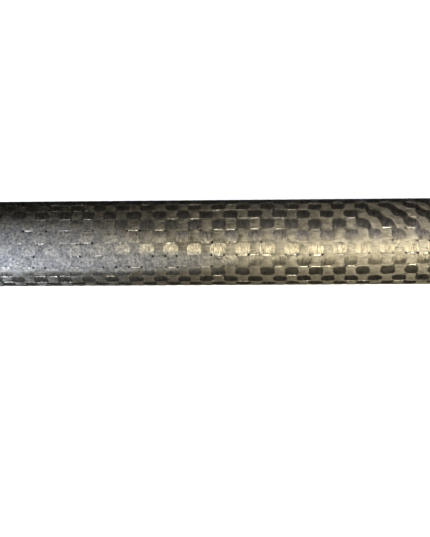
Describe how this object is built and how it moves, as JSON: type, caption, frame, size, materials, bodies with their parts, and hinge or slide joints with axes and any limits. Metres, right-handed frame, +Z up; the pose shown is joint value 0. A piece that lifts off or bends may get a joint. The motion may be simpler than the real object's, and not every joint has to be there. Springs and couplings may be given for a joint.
{
  "type": "curling broom",
  "caption": "Curling broom with a straight woven-carbon handle and a fabric-covered sweeping pad on a head that tilts and swivels.",
  "frame": {"origin": "centre of the pad's sweeping face, on the floor that the broom lies on", "axes": "+X along the handle from the head towards the butt cap, +Y along the long side of the head, +Z up"},
  "size_m": [1.1954, 0.2, 0.0595],
  "materials": {
    "carbon": "plain-weave carbon fibre in clear resin, satin",
    "rubber": "matt moulded rubber",
    "nylon": "fine-grained glass-filled nylon",
    "acetal": "natural acetal, smooth",
    "steel": "stainless, turned",
    "brass": "turned",
    "foam": "closed-cell foam",
    "fabric": "tightly woven coated nylon"
  },
  "bodies": {
    "handle": {"ferrule": "nylon", "hinge_bush": "brass", "seal_ring": "rubber", "shaft_tube": "carbon", "ferrule_screw_left": "steel", "ferrule_screw_right": "steel", "butt_plug": "nylon", "butt_cap": "rubber"},
    "turret": {"turret_yoke": "nylon", "pivot_bolt": "steel", "pivot_nut": "steel", "bolt_washer": "steel", "nut_washer": "steel", "friction_washer_left": "acetal", "friction_washer_right": "acetal"},
    "head": {"pad_cover": "fabric", "pad_foam": "foam", "pad_carrier": "nylon", "head_plate": "nylon", "retaining_ring": "nylon", "swivel_washer": "acetal", "ring_screw_1": "steel", "ring_screw_2": "steel", "ring_screw_3": "steel", "ring_screw_4": "steel", "pad_screw_1": "steel", "pad_screw_2": "steel", "pad_screw_3": "steel", "pad_screw_4": "steel", "pad_insert_1": "brass", "pad_insert_2": "brass", "pad_insert_3": "brass", "pad_insert_4": "brass"}
  },
  "joints": [
    {"name": "handle_tilt", "type": "hinge", "parent": "handle", "child": "turret", "pos_m": [0, 0, 0.046], "axis": [0, 1, 0], "range_deg": [0, 183]},
    {"name": "head_swivel", "type": "hinge", "parent": "turret", "child": "head", "pos_m": [0, 0, 0.02], "axis": [0, 0, 1], "continuous": true}
  ]
}
